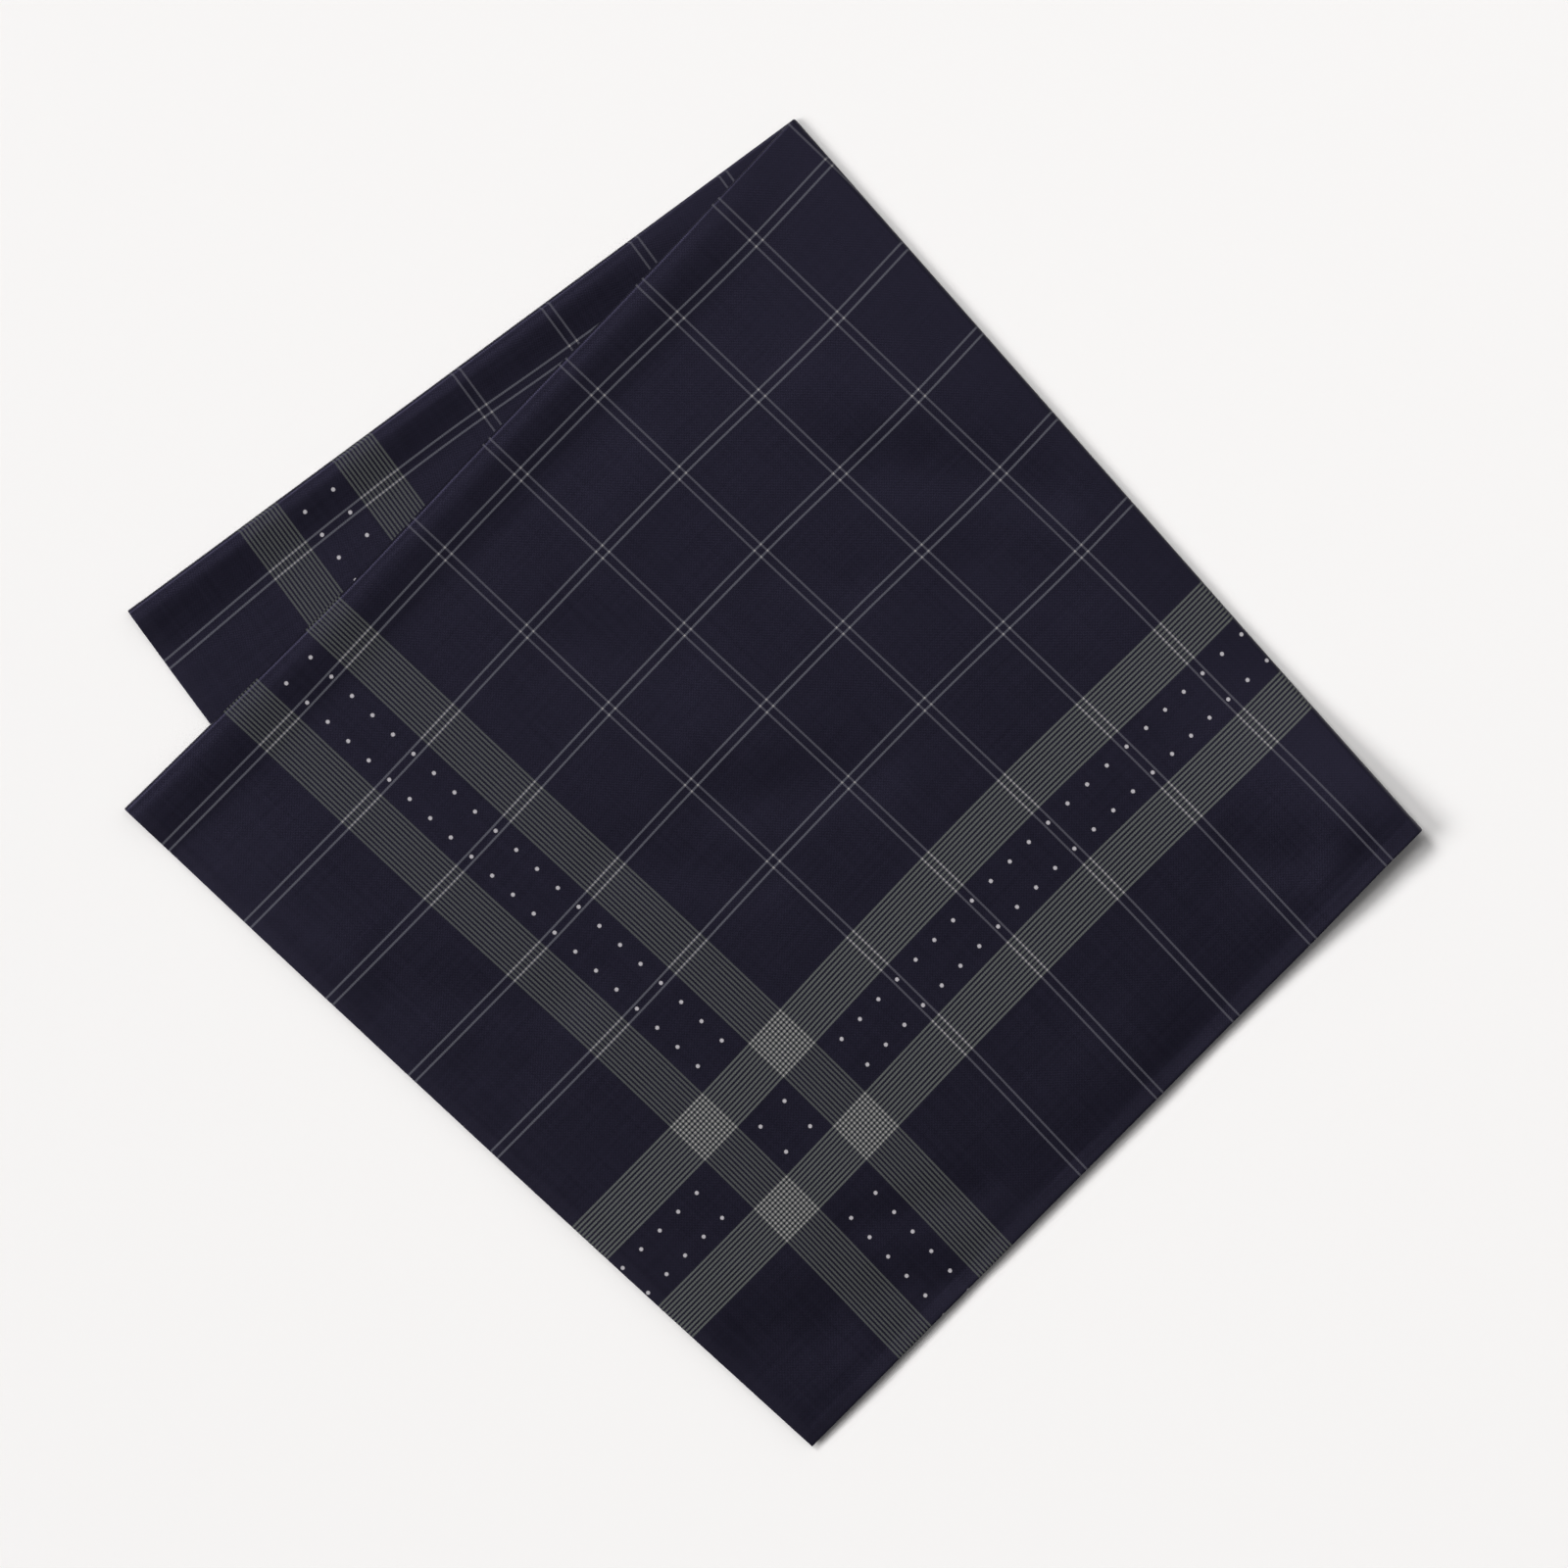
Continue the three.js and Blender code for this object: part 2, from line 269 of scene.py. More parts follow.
def middle(angle1, past1, angle2, past2):
    """Middle of the sheet, its distance from the first fold, and the radius of that fold."""
    front = (1 + np.sin(angle2)) / 2
    outer_side = (1 + np.sin(angle1)) / 2
    outer_down = past2 + OUTER * (1 - np.cos(angle2))
    far_front = smooth(ROLL_FRONT["start"], ROLL_FRONT["end"], outer_down)
    far_back = smooth(ROLL_BACK["start"], ROLL_BACK["end"], outer_down)
    grow_front = (ROLL_FRONT["radius"] - HALF_PAIR) * front * far_front
    grow_back = (ROLL_BACK["radius"] - HALF_PAIR) * (1 - front) * far_back
    radius = HALF_PAIR + grow_front + grow_back
    fade = front * (1 - smooth(*FADE_FRONT, past1)) + (1 - front) * (1 - smooth(*FADE_BACK, past1))
    across = past1 + radius * (1 - np.cos(angle1))
    height = (grow_front - grow_back) * fade
    height = height + (HALF_PAIR + (grow_front + grow_back) * fade) * np.sin(angle1)
    reach = PAIR_CENTRE + height
    down = past2 + OUTER - np.minimum(reach, OUTER) * np.cos(angle2)
    x = np.zeros(np.broadcast(across, down).shape)
    y = np.zeros_like(x)
    for layer in LAYERS:
        share = outer_side if layer["side"] > 0 else 1 - outer_side
        share = share * (front if layer["half"] > 0 else 1 - front)
        px, py = plan(layer, across, down)
        x += px * share
        y += py * share
    drop = 1 - FOLD_DROP["share"] * np.exp(-past2 / FOLD_DROP["width"])
    z = SHEET / 2 + OUTER * drop + reach * drop * np.sin(angle2)
    on_front = np.where(past2 > 0, front, 0)
    z = z - 2 * PAIR_CENTRE * settled(x, y) * on_front
    clear = smooth(*CREASE_CLEAR, past1) * smooth(*CREASE_CLEAR, past2)
    z = z + relief(x, y) * on_front * clear * (CREASE_BELOW + (1 - CREASE_BELOW) * outer_side)
    bead = smooth(BEAD["start"], BEAD["top"], past1) * fade * np.where(past2 > 0, 1, 0)
    bead_front = BEAD["front"] * far_front * front * outer_side
    bead_back = BEAD["back"] * far_back * (1 - front) * (1 - outer_side)
    z = z + bead * np.where(past1 > 0, bead_front + bead_back, 0)
    return np.stack([x, y, raised(x, y, z, on_front)], -1), across, radius


# How far the stripes wander from straight lines, in pitches, by place along them: the stripes
# along the first fold (x, and x_band where the border is), and the stripes along the second fold
# (y, and y_turn more for each pitch away from that fold)
WANDER = [
    dict(place=0, x=-0.02, x_band=0.01, y=-0.02, y_turn=0.011),
    dict(place=1, x=0.01, x_band=0.01, y=-0.015, y_turn=0.009),
    dict(place=3, x=-0.015, x_band=-0.03, y=0.0, y_turn=0.005),
    dict(place=5, x=0.015, x_band=0.0, y=0.005, y_turn=-0.001),
    dict(place=7, x=0.08, x_band=0.07, y=0.033, y_turn=-0.003),
    dict(place=9, x=0.09, x_band=0.085, y=0.155, y_turn=-0.0075),
]

# How the pitch of the second kind changes away from the second fold
Y_BEND = dict(size=-0.0014, reach=8)

# Where x_band takes over from x, and where that wander dies out towards the hem, in pitches
BAND_STARTS = (4.3, 6.0)
WANDER_ENDS = (6.2, 8.95)

# A small sideways jog of the stripes near the right corner, in pitches
JOG = dict(i=6.9, j=1.0, reach_i=1.1, below=1.6, above=0.55, size=0.044)


def wander(at, column):
    """One column of the table above, at places between its rows too."""
    return curve(at, [row["place"] for row in WANDER], [row[column] for row in WANDER])


def front_pattern(x, y):
    """Stripe coordinates of the top layer, in pitches from the cloth's centre."""
    m = np.array([PATTERN_X, PATTERN_Y]).T
    inv = np.linalg.inv(m)
    dx, dy = x - PATTERN_ORIGIN[0], y - PATTERN_ORIGIN[1]
    i = inv[0, 0] * dx + inv[0, 1] * dy
    j = inv[1, 0] * dx + inv[1, 1] * dy
    band = smooth(*BAND_STARTS, i)
    di = wander(j, "x") * (1 - band) + wander(j, "x_band") * band
    di = di * (1 - smooth(*WANDER_ENDS, i))
    dj = wander(i, "y") + (j - 1) * wander(i, "y_turn")
    dj = dj + Y_BEND["size"] * np.clip(j - 1, 0, Y_BEND["reach"]) ** 2
    reach_j = np.where(j < JOG["j"], JOG["below"], JOG["above"])
    jog = ((i - JOG["i"]) / JOG["reach_i"]) ** 2 + ((j - JOG["j"]) / reach_j) ** 2
    dj = dj + JOG["size"] * np.exp(-jog)
    return i - di - FIRST_PAIR, j - dj - FIRST_PAIR


# The back layer in millimetres: how far its first stripe is from the fold, by place along the
# fold, and the rows across the fold, given by the place of one of them and their pitch
BACK_PAIR_AT = [0, 100, 136, 180, 240]
BACK_PAIR = [15.6, 15.3, 14.5, 15.4, 19.0]
BACK_ROW = dict(row=1.5, place=26.0, pitch=32.04)


def back_pattern(past1, past2, on_fold=False):
    """Stripe coordinate of the back pair's inner layer, and the distance down its fold."""
    inner = np.full_like(past1, -QUARTER)
    point, across, _ = middle(inner, past1, inner, past2)
    dx, dy = point[..., 0] - CORNERS["fold"][0], point[..., 1] - CORNERS["fold"][1]
    down_fold = dx * BACK_DOWN[0] + dy * BACK_DOWN[1]
    from_fold = 0 if on_fold else across
    from_first = from_fold - curve(down_fold, BACK_PAIR_AT, BACK_PAIR)
    return -(FIRST_PAIR + from_first / PITCH_X), down_fold


def pattern(angle1, past1, angle2, past2):
    """Stripe coordinates over the whole sheet."""
    flat = np.full_like(angle1, QUARTER)
    on_fold = np.zeros_like(past1)

    # Front: the top layer at the same place, carried on round the first fold
    point, _, radius = middle(flat, past1, flat, past2)
    x_top, y_top = front_pattern(point[..., 0], point[..., 1])
    edge = middle(flat, on_fold, flat, past2)[0]
    x_edge, _ = front_pattern(edge[..., 0], edge[..., 1])
    arc1 = radius * (QUARTER - angle1) / PITCH_X
    x_front = np.where(angle1 <= TURNED, 2 * x_edge - x_top, x_top) - arc1

    # Second fold: the same carried on round its arc
    fold = middle(flat, past1, flat, on_fold)[0]
    _, y_fold = front_pattern(fold[..., 0], fold[..., 1])
    arc2 = OUTER * (QUARTER - angle2) / PITCH_Y
    y_front = y_top - arc2
    y_under = 2 * y_fold - y_top - arc2

    # Back layers: stripes square to their own fold
    x_back, down_fold = back_pattern(past1, past2)
    x_back_edge, _ = back_pattern(on_fold, past2, on_fold=True)
    x_back = np.where(angle1 >= 0, 2 * x_back_edge - x_back, x_back)
    y_lower = -(BACK_ROW["row"] + (down_fold - BACK_ROW["place"]) / BACK_ROW["pitch"])
    lower = (1 - np.sin(angle1)) / 2
    y_back = lower * y_lower + (1 - lower) * y_under

    share = smooth(0, 1, (1 + np.sin(angle2)) / 2)
    x = share * x_front + (1 - share) * x_back
    y = np.where(angle2 <= TURNED, y_back, y_front)
    return x, y


# Mesh lines beside a fold, by distance beyond it, and beside an edge, by distance left to it, in
# millimetres. Between them the lines are about a step apart, and a fold has its number of turns.
NEAR_LINES = [0.5, 1.1, 1.9, 2.9, 4.1, 5.5, 7.2]
STEP_LINES = [HEM_WIDTH + HEM_STEP * share for share in (1, 0.66, 0.33, 0)]
HEM_LINES = STEP_LINES + [2.7, 1.8, 0.9, 0.35, 0.1, 0.0]
FIRST_FOLD_MESH = dict(step=3.05, turns=14)
SECOND_FOLD_MESH = dict(step=2.95, turns=16)

# Half the distance over which the sheet's direction is measured
NUDGE = 0.02

# Room round the baked picture: in pitches beyond the hems, and as a share of its side
BAKE_SPARE = 0.12
BAKE_MARGIN = 0.004


def lines_beyond(length, step):
    """Distances of the mesh lines from a fold to the edge."""
    lines = list(NEAR_LINES)
    start, stop = NEAR_LINES[-1], length - HEM_LINES[0]
    count = int(round((stop - start) / step))
    lines += [start + (stop - start) * k / count for k in range(1, count + 1)]
    lines += [length - left for left in HEM_LINES[1:]]
    return lines


def lines_across(low_length, high_length, step, turns):
    """Angle over a fold, distance beyond it and distance left to the edge, from edge to edge."""
    angle, past, left = [], [], []
    for value in reversed(lines_beyond(low_length, step)):
        angle.append(-QUARTER)
        past.append(value)
        left.append(low_length - value)
    for k in range(turns + 1):
        angle.append(-QUARTER + math.pi * k / turns)
        past.append(0.0)
        left.append(low_length)
    for value in lines_beyond(high_length, step):
        angle.append(QUARTER)
        past.append(value)
        left.append(high_length - value)
    return np.array(angle), np.array(past), np.array(left)


def sheet_grid():
    """The angle and distance of every mesh point for both folds, and the distance to the edge."""
    along_end = ALONG_LENGTH - HALF_PAIR
    turn1, beyond1, left1 = lines_across(along_end, along_end, **FIRST_FOLD_MESH)
    back_end, front_end = BACK_LENGTH - OUTER, FRONT_LENGTH - OUTER
    turn2, beyond2, left2 = lines_across(back_end, front_end, **SECOND_FOLD_MESH)
    angle2, angle1 = np.meshgrid(turn2, turn1, indexing="ij")
    past2, past1 = np.meshgrid(beyond2, beyond1, indexing="ij")
    return (angle1, past1, angle2, past2), np.minimum(left1[None, :], left2[:, None])


def nudge(angle, past, amount):
    """A place a little farther on, from the inner or back edge towards the other one."""
    straight = past > 0
    return (np.where(straight, angle, angle + amount),
            np.where(straight, past + amount * np.sign(angle), past))


def sheet_normal(angle1, past1, angle2, past2):
    """Direction out of the sheet's outer face."""
    on1, back1 = nudge(angle1, past1, NUDGE), nudge(angle1, past1, -NUDGE)
    on2, back2 = nudge(angle2, past2, NUDGE), nudge(angle2, past2, -NUDGE)
    over1 = middle(*on1, angle2, past2)[0] - middle(*back1, angle2, past2)[0]
    over2 = middle(angle1, past1, *on2)[0] - middle(angle1, past1, *back2)[0]
    normal = np.cross(over2, over1)
    return normal / np.linalg.norm(normal, axis=-1, keepdims=True)


def sheet_faces(rows, cols):
    """Four-sided faces of the outer face, the inner face and the rim between them."""
    base = rows * cols
    r, k = np.meshgrid(np.arange(rows - 1), np.arange(cols - 1), indexing="ij")
    a = (r * cols + k).ravel()
    outer = np.stack([a, a + cols, a + cols + 1, a + 1], -1)
    inner = np.stack([base + a, base + a + 1, base + a + cols + 1, base + a + cols], -1)
    rim = np.concatenate([
        np.arange(cols - 1),
        np.arange(rows - 1) * cols + cols - 1,
        (rows - 1) * cols + np.arange(cols - 1, 0, -1),
        np.arange(rows - 1, 0, -1) * cols,
    ])
    after = np.roll(rim, -1)
    return np.concatenate([outer, inner, np.stack([rim, after, base + after, base + rim], -1)])


def on_both_faces(a, b):
    """Two values of each point as one list of pairs, for the outer face and then the inner."""
    return np.concatenate([np.stack([a, b], -1).reshape(-1, 2)] * 2)


def build_cloth():
    """The folded sheet as one closed mesh with the maps that its material reads."""
    grid, left = sheet_grid()
    angle1, _, angle2, _ = grid
    centre = middle(*grid)[0]
    normal = sheet_normal(*grid)
    in_hem = 1 - smooth(HEM_WIDTH, HEM_WIDTH + HEM_STEP, left)
    faces_up = (1 + np.sin(angle1) * np.sin(angle2)) / 2
    edge = 1 - HEM_EDGE["thinner"] * (1 - smooth(0, HEM_EDGE["width"], left))
    half = (SHEET / 2 + (HEM_SHEET - SHEET) / 2 * in_hem) * edge
    outer_by = (SHEET / 2 + HEM_OUT * faces_up * in_hem) * edge
    inner_by = 2 * half - outer_by
    outer = centre + normal * outer_by[..., None]
    inner = centre - normal * inner_by[..., None]
    points = np.concatenate([outer.reshape(-1, 3), inner.reshape(-1, 3)]) * MM
    mesh = bpy.data.meshes.new("neckerchief")
    mesh.from_pydata(points.tolist(), [], sheet_faces(*left.shape).tolist())
    mesh.validate()
    cloth_map = on_both_faces(*pattern(*grid))
    folded = np.abs(cloth_map) / np.array([X_END + BAKE_SPARE, Y_END + BAKE_SPARE])
    maps = {
        "cloth": cloth_map,
        "hem": on_both_faces(left, half),
        "OFBake": BAKE_MARGIN + (1 - 2 * BAKE_MARGIN) * folded,
    }
    loops = np.zeros(len(mesh.loops), int)
    mesh.loops.foreach_get("vertex_index", loops)
    for name, values in maps.items():
        layer = mesh.uv_layers.new(name=name)
        layer.data.foreach_set("uv", values[loops].astype(np.float32).ravel())
    mesh.shade_smooth()
    ob = bpy.data.objects.new("neckerchief", mesh)
    bpy.context.scene.collection.objects.link(ob)
    return ob


class Maths:
    """Short way to write a chain of maths nodes."""

    def __init__(self, tree):
        self.tree = tree

    def put(self, value, socket):
        """Set a number or colour on a socket, or link a node's output to it."""
        if isinstance(value, (int, float, tuple)):
            socket.default_value = value
        else:
            self.tree.links.new(value, socket)

    def __call__(self, kind, *values):
        """Output of one maths node."""
        node = self.tree.nodes.new("ShaderNodeMath")
        node.operation = kind
        for k, value in enumerate(values):
            self.put(value, node.inputs[k])
        return node.outputs[0]

    def ramp(self, value, start, end, low=0.0, high=1.0):
        """Soft step from low to high."""
        node = self.tree.nodes.new("ShaderNodeMapRange")
        node.interpolation_type = "SMOOTHSTEP"
        self.put(value, node.inputs["Value"])
        for key, number in (("From Min", start), ("From Max", end), ("To Min", low), ("To Max", high)):
            self.put(number, node.inputs[key])
        return node.outputs["Result"]

    def mix(self, share, a, b):
        """Colour between a and b."""
        node = self.tree.nodes.new("ShaderNodeMix")
        node.data_type = "RGBA"
        for key, value in (("Factor", share), ("A", a), ("B", b)):
            sockets = [s for s in node.inputs if s.name == key and s.enabled]
            self.put(value, sockets[0])
        return [s for s in node.outputs if s.enabled][0]


# Linear colours: the ground, the pairs and the border's groups of stripes in both directions,
# the places where stripes cross, and the dots
NAVY = (0.0039, 0.0036, 0.0068, 1)
PAIR_X = (0.094, 0.096, 0.109, 1)
GROUP_X = (0.092, 0.100, 0.087, 1)
PAIR_Y = (0.058, 0.057, 0.066, 1)
GROUP_Y = (0.062, 0.067, 0.058, 1)
WHITE = (0.318, 0.306, 0.293, 1)
DOT = (0.425, 0.405, 0.425, 1)

# Stripes, in pitches: half the distance between the lines of a pair, half a line's width and its
# soft edge, the strength of the pairs, where the pairs end, and the border's two groups of lines
PAIR_HALF = 0.041
LINE_HALF = 0.0094
SOFT = 0.0035
PAIR_SHARE_X = 0.80
PAIR_SHARE_Y = 1.0
LAST_PAIR = 5.0
BAND_MIDDLE = 6.19
GROUP_AWAY = 0.53
GROUP_HALF = 0.225
LINE_PITCH = 0.0375

# Half the width of a line in a group, as a share of the distance between two lines
GROUP_LINE = 0.25

# Dots, in pitches: how far their two rows are from the border's middle, the distance between
# dots inside and outside the border, where the stretch inside ends and the one outside starts,
# the first dot outside, and a dot's size and soft edge
DOT_ROW = 0.1625
DOT_STEP = 0.25
DOT_STEP_EDGE = 0.245
DOT_INNER_END = 5.35
DOT_OUTER_START = 7.05
DOT_EDGE_FIRST = 7.205
DOT_RADIUS = 0.0190
DOT_SOFT = dict(inside=0.006, outside=0.004)

# More than any distance to a dot, in pitches
FAR = 1.0


def stripe_mask(m, u, pair_share):
    """White lines that run at fixed distances u, in pitches, from the centre."""
    away = m("ABSOLUTE", m("SUBTRACT", m("FRACT", u), FIRST_PAIR))
    off_line = m("ABSOLUTE", m("SUBTRACT", away, PAIR_HALF))
    pair = m.ramp(off_line, LINE_HALF - SOFT, LINE_HALF + SOFT, pair_share, 0)
    pair = m("MULTIPLY", pair, m("LESS_THAN", u, LAST_PAIR))
    from_band = m("ABSOLUTE", m("SUBTRACT", u, BAND_MIDDLE))
    from_group = m("ABSOLUTE", m("SUBTRACT", from_band, GROUP_AWAY))
    phase = m("ABSOLUTE", m("SUBTRACT", m("FRACT", m("DIVIDE", from_group, LINE_PITCH)), 0.5))
    line = m.ramp(phase, GROUP_LINE - SOFT / LINE_PITCH, GROUP_LINE + SOFT / LINE_PITCH, 1, 0)
    group = m("MULTIPLY", line, m("LESS_THAN", from_group, GROUP_HALF))
    return m("MAXIMUM", pair, group)


def off_dot_row(m, u):
    """Distance to the nearer of the two dot rows in the border."""
    return m("ABSOLUTE", m("SUBTRACT", m("ABSOLUTE", m("SUBTRACT", u, BAND_MIDDLE)), DOT_ROW))


def dot_away(m, u):
    """Distance along a row of dots to the nearest dot."""
    def nearest(value, step):
        f = m("FRACT", m("ADD", m("DIVIDE", value, step), 0.5))
        return m("MULTIPLY", m("ABSOLUTE", m("SUBTRACT", f, 0.5)), step)
    beyond_inner = m("MULTIPLY", m("GREATER_THAN", u, DOT_INNER_END), FAR)
    before_outer = m("MULTIPLY", m("LESS_THAN", u, DOT_OUTER_START), FAR)
    inner = m("ADD", nearest(u, DOT_STEP), beyond_inner)
    outer = m("ADD", nearest(m("SUBTRACT", u, DOT_EDGE_FIRST), DOT_STEP_EDGE), before_outer)
    return m("MINIMUM", m("MINIMUM", inner, off_dot_row(m, u)), outer)


def dot_mask(m, u, v):
    """Small round dots in rows along both directions."""
    def rows(along, across):
        row = off_dot_row(m, across)
        away = dot_away(m, along)
        return m("SQRT", m("ADD", m("MULTIPLY", row, row), m("MULTIPLY", away, away)))
    away = m("MINIMUM", rows(u, v), rows(v, u))
    return m.ramp(away, DOT_RADIUS - DOT_SOFT["inside"], DOT_RADIUS + DOT_SOFT["outside"], 1, 0)


# Yarn of the weave in millimetres, and how its crossings, uneven yarns, faint clouds and the
# thicker hem change the ground; the hem's paler tone is partly its extra layers and partly a
# painted highlight of its lit strip. A tone is so many times the ground's red, green and blue.
YARN = 0.65
WEAVE = dict(tone=(1.9, 1.9, 1.8), share=0.12)
SLUB = dict(dark=(0.86, 0.86, 0.86), pale=(1.16, 1.16, 1.14), start=0.7, end=1.3)
SLUB_SCALE = dict(across=26, along=1.2, seed_u=1.7, seed_v=5.3)
CLOUD = dict(tone=(1.3, 1.3, 1.15), share=0.22, start=0.3, end=0.7, scale=1.6, seed=9.1)
# Paler hem: partly the tone of its extra layers, partly a painted highlight along its edge strip
HEM_TONE_AND_PAINTED_HIGHLIGHT = dict(tone=(2.4, 2.4, 2.1), share=0.43, before=0.8, after=1.6)
NOISE_DETAIL = 3.0

# How a line's strength follows the yarns, and the surface: roughness, gloss, sheen and bump
LINE_YARN = dict(base=0.88, swing=0.16)
ROUGH = dict(base=0.42, slub=0.10, line=0.12)
BUMP = dict(weave=0.5, slub=0.8, strength=0.25, distance=0.00012)
SURFACE = {
    "Specular IOR Level": 0.31,
    "Specular Tint": (0.61, 0.56, 1.0, 1),
    "Sheen Weight": 0.012,
    "Sheen Roughness": 0.35,
    "Sheen Tint": (0.80, 0.80, 0.92, 1),
}


def navy_times(tone):
    """The ground's colour made darker or paler."""
    return tuple(part * factor for part, factor in zip(NAVY, tone)) + (1,)


def map_values(tree, name):
    """The two values of one of the cloth's maps."""
    chosen = tree.nodes.new("ShaderNodeUVMap")
    chosen.uv_map = name
    split = tree.nodes.new("ShaderNodeSeparateXYZ")
    tree.links.new(chosen.outputs["UV"], split.inputs[0])
    return split.outputs["X"], split.outputs["Y"]


def streaks(tree, place, scale_u, scale_v, seed):
    """Soft noise drawn out along one direction of the cloth."""
    stretch = tree.nodes.new("ShaderNodeMapping")
    stretch.inputs["Scale"].default_value = (scale_u, scale_v, 1)
    stretch.inputs["Location"].default_value = (seed, seed, seed)
    tree.links.new(place, stretch.inputs["Vector"])
    noise = tree.nodes.new("ShaderNodeTexNoise")
    noise.inputs["Scale"].default_value = 1.0
    noise.inputs["Detail"].default_value = NOISE_DETAIL
    tree.links.new(stretch.outputs[0], noise.inputs["Vector"])
    return noise.outputs[0]


def ground_colour(m, slub, cloud, weave, left):
    """Navy between the stripes, a little uneven, and paler at the hem partly for its layers and partly
    as a painted highlight.
    """
    colour = m.mix(m.ramp(slub, SLUB["start"], SLUB["end"]),
                   navy_times(SLUB["dark"]), navy_times(SLUB["pale"]))
    clouded = m.ramp(cloud, CLOUD["start"], CLOUD["end"], 0.0, CLOUD["share"])
    colour = m.mix(clouded, colour, navy_times(CLOUD["tone"]))
    crossed = m("ADD", WEAVE["share"], m("MULTIPLY", weave, WEAVE["share"]))
    colour = m.mix(crossed, colour, navy_times(WEAVE["tone"]))
    # Painted highlight mixed with the hem's own paler tone, from the edge inward past the hem's step
    start, end = HEM_WIDTH - HEM_TONE_AND_PAINTED_HIGHLIGHT["before"], HEM_WIDTH + HEM_TONE_AND_PAINTED_HIGHLIGHT["after"]
    return m.mix(m.ramp(left, start, end, HEM_TONE_AND_PAINTED_HIGHLIGHT["share"], 0.0), colour, navy_times(HEM_TONE_AND_PAINTED_HIGHLIGHT["tone"]))


def striped_colour(m, u, v, line_u, line_v, ground):
    """The ground with the stripes of both directions and the dots on it."""
    colour_u = m.mix(m("GREATER_THAN", u, LAST_PAIR), PAIR_X, GROUP_X)
    colour_v = m.mix(m("GREATER_THAN", v, LAST_PAIR), PAIR_Y, GROUP_Y)
    off_u = m.mix(line_v, ground, colour_v)
    on_u = m.mix(line_v, colour_u, WHITE)
    return m.mix(dot_mask(m, u, v), m.mix(line_u, off_u, on_u), DOT)


def cloth_material():
    """Fine navy cloth with white stripes and dots, all worked out from the cloth's maps."""
    mat = bpy.data.materials.new("navy_striped_cloth")
    mat.use_nodes = True
    tree = mat.node_tree
    shader = tree.nodes["Principled BSDF"]
    m = Maths(tree)
    x, y = map_values(tree, "cloth")
    u, v = m("ABSOLUTE", x), m("ABSOLUTE", y)
    left, _ = map_values(tree, "hem")

    warp = m("SINE", m("MULTIPLY", u, 2 * math.pi * PITCH_X / YARN))
    weft = m("SINE", m("MULTIPLY", v, 2 * math.pi * PITCH_Y / YARN))
    weave = m("MULTIPLY", warp, weft)

    joined = tree.nodes.new("ShaderNodeCombineXYZ")
    tree.links.new(u, joined.inputs[0])
    tree.links.new(v, joined.inputs[1])
    place = joined.outputs[0]
    across, along = SLUB_SCALE["across"], SLUB_SCALE["along"]
    slub = m("ADD", streaks(tree, place, across, along, SLUB_SCALE["seed_u"]),
             streaks(tree, place, along, across, SLUB_SCALE["seed_v"]))
    cloud = streaks(tree, place, CLOUD["scale"], CLOUD["scale"], CLOUD["seed"])

    # Each line is a little stronger and weaker from yarn to yarn
    over_weft = m("ADD", LINE_YARN["base"], m("MULTIPLY", weft, LINE_YARN["swing"]))
    over_warp = m("ADD", LINE_YARN["base"], m("MULTIPLY", warp, LINE_YARN["swing"]))
    line_u = m("MULTIPLY", stripe_mask(m, u, PAIR_SHARE_X), over_weft)
    line_v = m("MULTIPLY", stripe_mask(m, v, PAIR_SHARE_Y), over_warp)
    ground = ground_colour(m, slub, cloud, weave, left)
    tree.links.new(striped_colour(m, u, v, line_u, line_v, ground), shader.inputs["Base Color"])

    rough = m("ADD", ROUGH["base"], m("MULTIPLY", m("SUBTRACT", slub, 1.0), ROUGH["slub"]))
    rough = m("ADD", rough, m("MULTIPLY", m("MAXIMUM", line_u, line_v), ROUGH["line"]))
    tree.links.new(rough, shader.inputs["Roughness"])
    for name, value in SURFACE.items():
        shader.inputs[name].default_value = value

    bump = tree.nodes.new("ShaderNodeBump")
    bump.inputs["Strength"].default_value = BUMP["strength"]
    bump.inputs["Distance"].default_value = BUMP["distance"]
    height = m("ADD", m("MULTIPLY", weave, BUMP["weave"]), m("MULTIPLY", slub, BUMP["slub"]))
    tree.links.new(height, bump.inputs["Height"])
    tree.links.new(bump.outputs[0], shader.inputs["Normal"])
    return mat


# Plain floor, from here on in metres
FLOOR_HALF = 6.0
FLOOR_COLOUR = (0.90, 0.885, 0.877, 1)
FLOOR_ROUGHNESS = 0.9

# Wide distant lights, their places and apparent widths in degrees, one small light that brings
# out the sheen, and even light from all round
WIDE_LIGHTS = [
    dict(name="key", azimuth=137, elevation=48, width=21, strength=1.67),
    dict(name="side", azimuth=190, elevation=40, width=29, strength=1.90),
    dict(name="fill", azimuth=41, elevation=32, width=60, strength=0.42),
]
WIDE_LIGHT_DISTANCE = 3
SHEEN_LIGHT = dict(name="sheen", place=(0.12, 0.90, 1.9), target=(0, 0, 0), size=(0.6, 0.6), power=4.3)
AROUND = 0.095

# The camera looks straight down and sees a square of this width at this height
FRAME_WIDTH = 0.4536
SEEN_HEIGHT = 0.003
CAMERA_AT = (0.00322, -0.00050)
CAMERA_HEIGHT = 1.8
SENSOR_MM = 36
SIGHT_END = 50


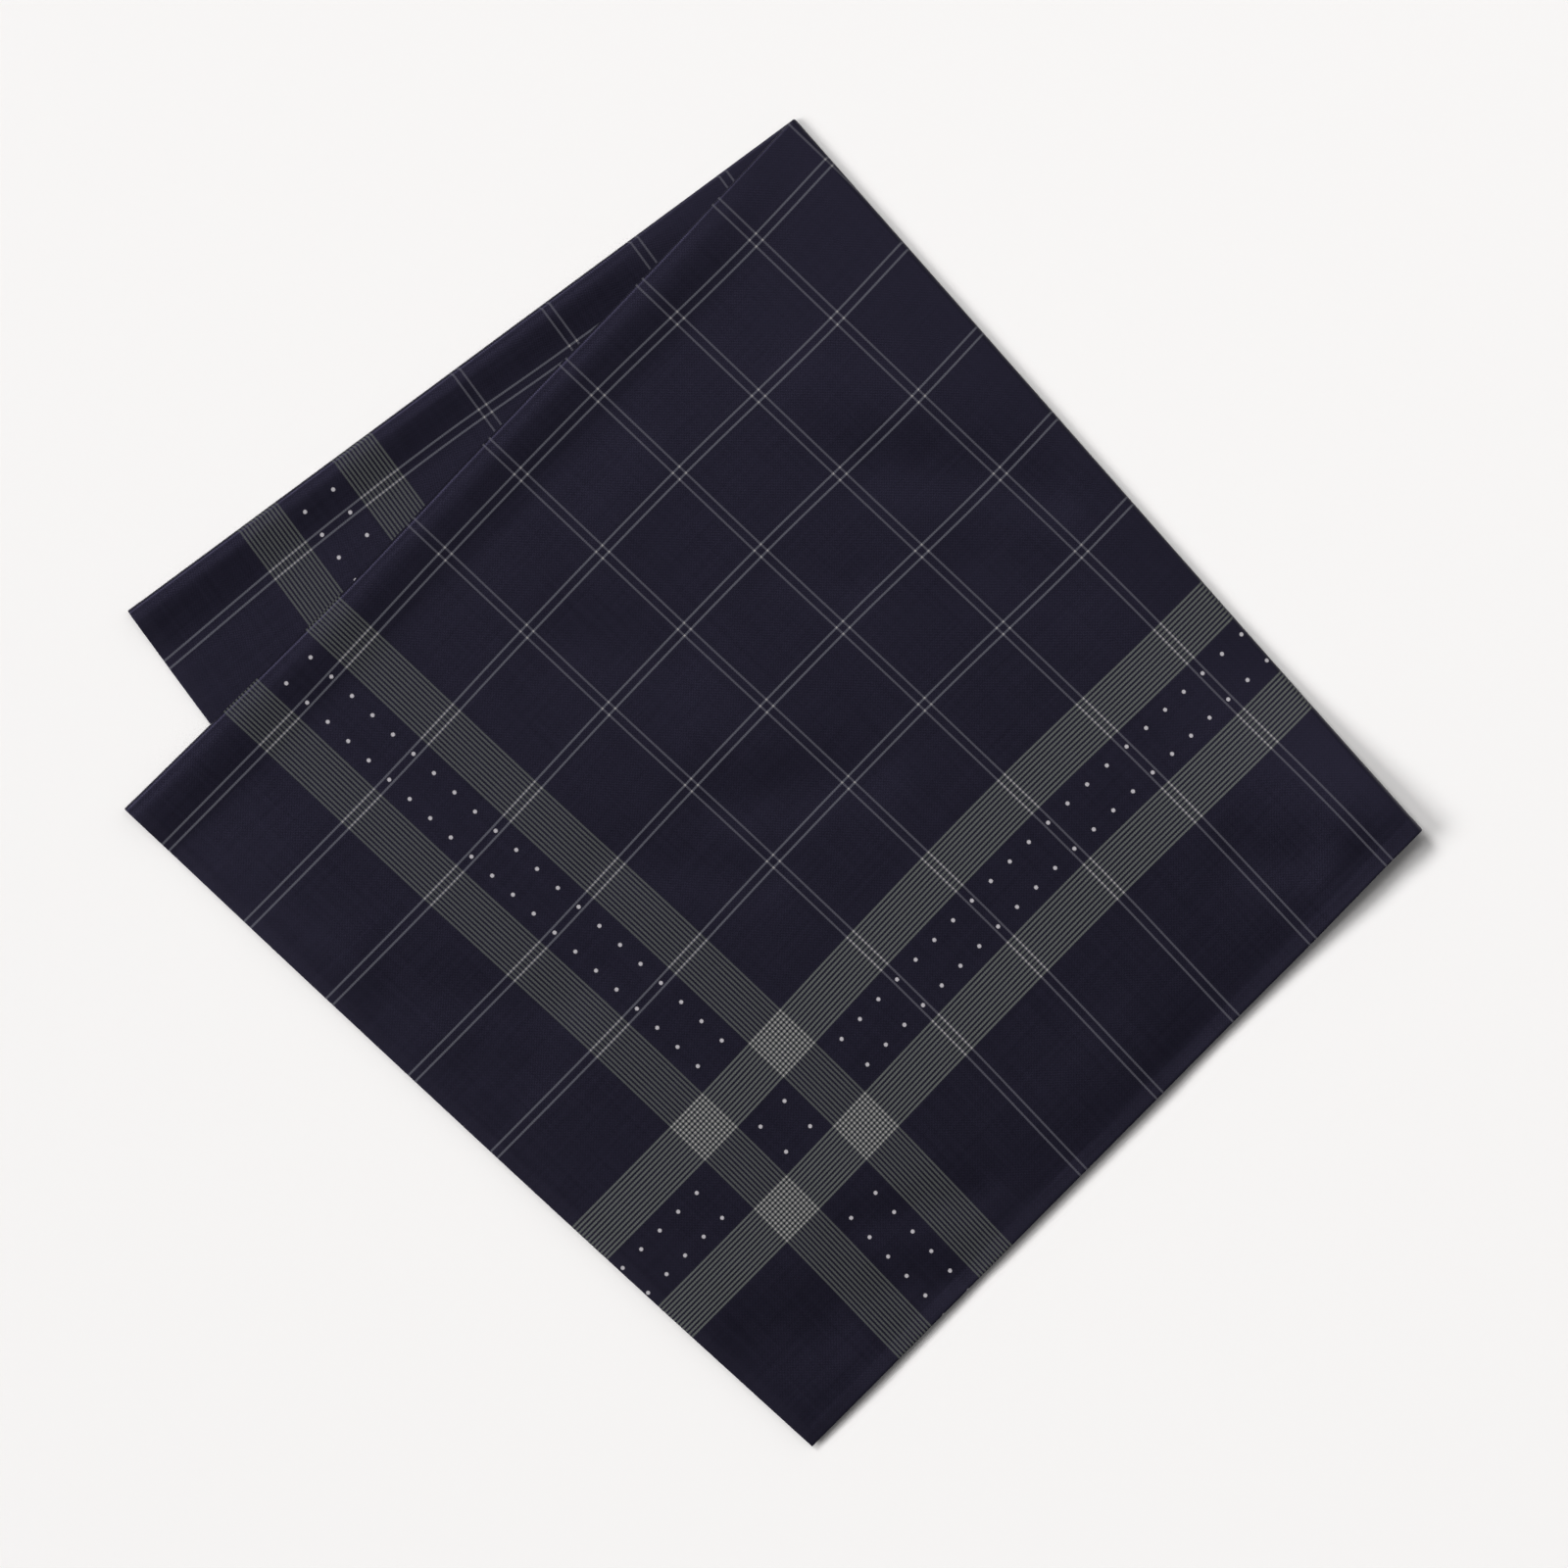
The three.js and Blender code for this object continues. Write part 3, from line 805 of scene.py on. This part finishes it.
def floor():
    """Square floor under the cloth."""
    corners = [(-1, -1), (1, -1), (1, 1), (-1, 1)]
    mesh = bpy.data.meshes.new("floor")
    mesh.from_pydata([(FLOOR_HALF * x, FLOOR_HALF * y, 0) for x, y in corners], [], [(0, 1, 2, 3)])
    ob = bpy.data.objects.new("floor", mesh)
    bpy.context.scene.collection.objects.link(ob)
    mat = bpy.data.materials.new("pale_floor")
    mat.use_nodes = True
    shader = mat.node_tree.nodes["Principled BSDF"]
    shader.inputs["Base Color"].default_value = FLOOR_COLOUR
    shader.inputs["Roughness"].default_value = FLOOR_ROUGHNESS
    shader.inputs["Specular IOR Level"].default_value = 0.0
    mesh.materials.append(mat)


def place_light(light, place, away):
    """Put a light in the scene with its back turned away from what it lights."""
    ob = bpy.data.objects.new(light.name, light)
    ob.location = place
    ob.rotation_euler = away.to_track_quat("Z", "Y").to_euler()
    bpy.context.scene.collection.objects.link(ob)


def wide_light(name, azimuth, elevation, width, strength):
    """Distant soft light."""
    light = bpy.data.lights.new(name, "SUN")
    light.angle = math.radians(width)
    light.energy = strength
    az, el = math.radians(azimuth), math.radians(elevation)
    away = Vector((math.cos(el) * math.cos(az), math.cos(el) * math.sin(az), math.sin(el)))
    place_light(light, away * WIDE_LIGHT_DISTANCE, away)


def area_light(name, place, target, size, power):
    """Rectangular light that faces its target."""
    light = bpy.data.lights.new(name, "AREA")
    light.shape = "RECTANGLE"
    light.size, light.size_y = size
    light.energy = power
    place_light(light, place, Vector(place) - Vector(target))


def light_around():
    """Even white light from every side."""
    world = bpy.data.worlds.new("world")
    world.use_nodes = True
    background = world.node_tree.nodes["Background"]
    background.inputs["Color"].default_value = (1, 1, 1, 1)
    background.inputs["Strength"].default_value = AROUND
    bpy.context.scene.world = world


def add_camera():
    """Camera over the cloth, with the photograph's frame."""
    data = bpy.data.cameras.new("camera")
    data.sensor_width = SENSOR_MM
    data.lens = SENSOR_MM * (CAMERA_HEIGHT - SEEN_HEIGHT) / FRAME_WIDTH
    data.clip_end = SIGHT_END
    camera = bpy.data.objects.new("camera", data)
    camera.location = (*CAMERA_AT, CAMERA_HEIGHT)
    bpy.context.scene.collection.objects.link(camera)
    bpy.context.scene.camera = camera


cloth = build_cloth()
cloth.data.materials.append(cloth_material())
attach(cloth, "root")
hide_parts("scarf_cloth")

floor()
add_camera()
for row in WIDE_LIGHTS:
    wide_light(**row)
area_light(**SHEEN_LIGHT)
light_around()
bpy.context.scene.view_settings.view_transform = "Standard"
bpy.context.scene.view_settings.look = "None"
